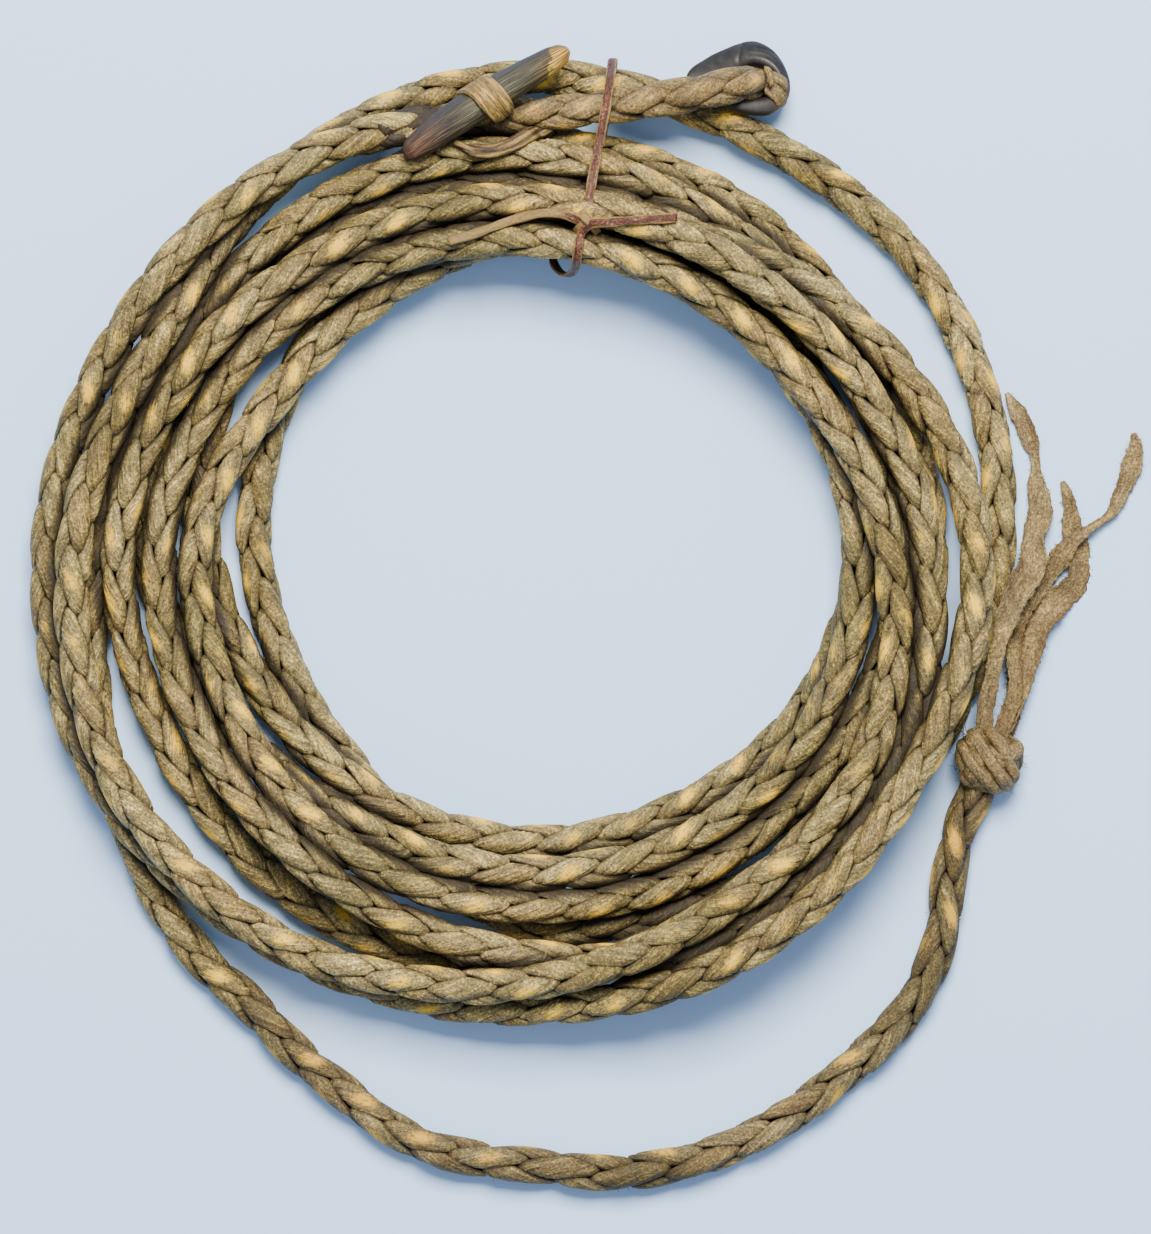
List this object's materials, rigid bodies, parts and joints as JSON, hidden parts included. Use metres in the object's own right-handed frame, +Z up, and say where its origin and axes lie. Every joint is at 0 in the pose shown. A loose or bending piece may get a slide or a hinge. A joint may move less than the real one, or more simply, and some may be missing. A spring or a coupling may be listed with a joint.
{
  "type": "coiled braided hide rope with horn ring, horn toggle, lace tie and frayed end knot",
  "caption": "Long round-braided hide rope laid down as an open coil, tied with a thin lace, with a horn ring and toggle at one end and a knot with frayed tails at the other.",
  "frame": {"origin": "centre of the outline, on the surface the rope lies on", "axes": "+Z up, +Y towards the horn ring's side of the coil, +X towards the frayed tails"},
  "size_m": [0.4471, 0.463, 0.0497],
  "materials": {
    "hide_rope": "raw hide, crowned and worn smooth on the plaits, dirty in the creases",
    "pale_hide": "raw hide, golden and slightly translucent, frayed edges",
    "dark_horn": "cow horn, charcoal with grey growth ridges, satin polish",
    "grey_horn": "cow horn, grey-green in the middle, red-brown tip and golden end, fine lengthwise lines",
    "red_lace": "thin dyed lace, red-brown fading to tan"
  },
  "bodies": {
    "root": {"rope_coil": "hide_rope", "rope_tail": "hide_rope", "ring_braid": "pale_hide", "horn_ring": "dark_horn", "horn_toggle": "grey_horn", "toggle_keeper": "pale_hide", "lace_tie": "red_lace", "end_knot": "hide_rope", "strand_tail_1": "pale_hide", "strand_tail_2": "pale_hide", "strand_tail_3": "pale_hide", "strand_tail_4": "pale_hide"}
  },
  "joints": []
}
